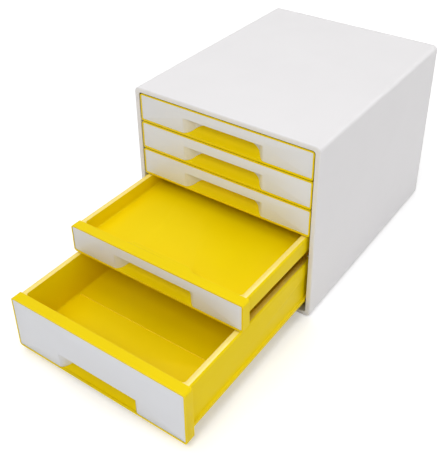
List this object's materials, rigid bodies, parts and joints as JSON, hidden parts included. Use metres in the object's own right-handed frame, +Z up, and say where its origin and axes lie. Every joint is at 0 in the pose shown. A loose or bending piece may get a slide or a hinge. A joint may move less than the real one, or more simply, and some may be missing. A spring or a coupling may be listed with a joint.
{
  "type": "desktop drawer cabinet",
  "caption": "Desktop cabinet of sliding drawers: a white plastic casing, and yellow trays with white fronts and finger recesses that slide out along runner ledges.",
  "frame": {"origin": "on the surface that the cabinet stands on, in the middle of the ground that the casing and its open drawers cover at rest", "axes": "+Z is up, +X is the cabinet's right as its user sees it, and the drawer fronts face -Y; drawers open along -Y"},
  "size_m": [0.287, 0.622, 0.27],
  "materials": {
    "white_plastic": "fine moulded satin",
    "face_plastic": "fine moulded satin",
    "yellow_plastic": "half gloss",
    "runner_plastic": "plain moulded",
    "foot_rubber": "matte"
  },
  "bodies": {
    "casing": {"casing_shell": "white_plastic", "back_cover": "white_plastic", "runner_left": "runner_plastic", "runner_right": "runner_plastic", "foot_front_left": "foot_rubber", "foot_front_right": "foot_rubber", "foot_rear_left": "foot_rubber", "foot_rear_right": "foot_rubber"},
    "drawer_1": {"drawer_1_tray": "yellow_plastic", "drawer_1_frame": "yellow_plastic", "drawer_1_face": "face_plastic"},
    "drawer_2": {"drawer_2_tray": "yellow_plastic", "drawer_2_frame": "yellow_plastic", "drawer_2_face": "face_plastic"},
    "drawer_3": {"drawer_3_tray": "yellow_plastic", "drawer_3_frame": "yellow_plastic", "drawer_3_face": "face_plastic"},
    "drawer_4": {"drawer_4_tray": "yellow_plastic", "drawer_4_frame": "yellow_plastic", "drawer_4_face": "face_plastic"},
    "drawer_5": {"drawer_5_tray": "yellow_plastic", "drawer_5_frame": "yellow_plastic", "drawer_5_face": "face_plastic"}
  },
  "joints": [
    {"name": "drawer_1_slide", "type": "slide", "parent": "casing", "child": "drawer_1", "axis": [0, -1, 0], "range_m": [0, 0.275]},
    {"name": "drawer_2_slide", "type": "slide", "parent": "casing", "child": "drawer_2", "axis": [0, -1, 0], "range_m": [0, 0.275]},
    {"name": "drawer_3_slide", "type": "slide", "parent": "casing", "child": "drawer_3", "axis": [0, -1, 0], "range_m": [0, 0.275]},
    {"name": "drawer_4_slide", "type": "slide", "parent": "casing", "child": "drawer_4", "axis": [0, -1, 0], "range_m": [-0.15, 0.125]},
    {"name": "drawer_5_slide", "type": "slide", "parent": "casing", "child": "drawer_5", "axis": [0, -1, 0], "range_m": [-0.26, 0.015]}
  ]
}
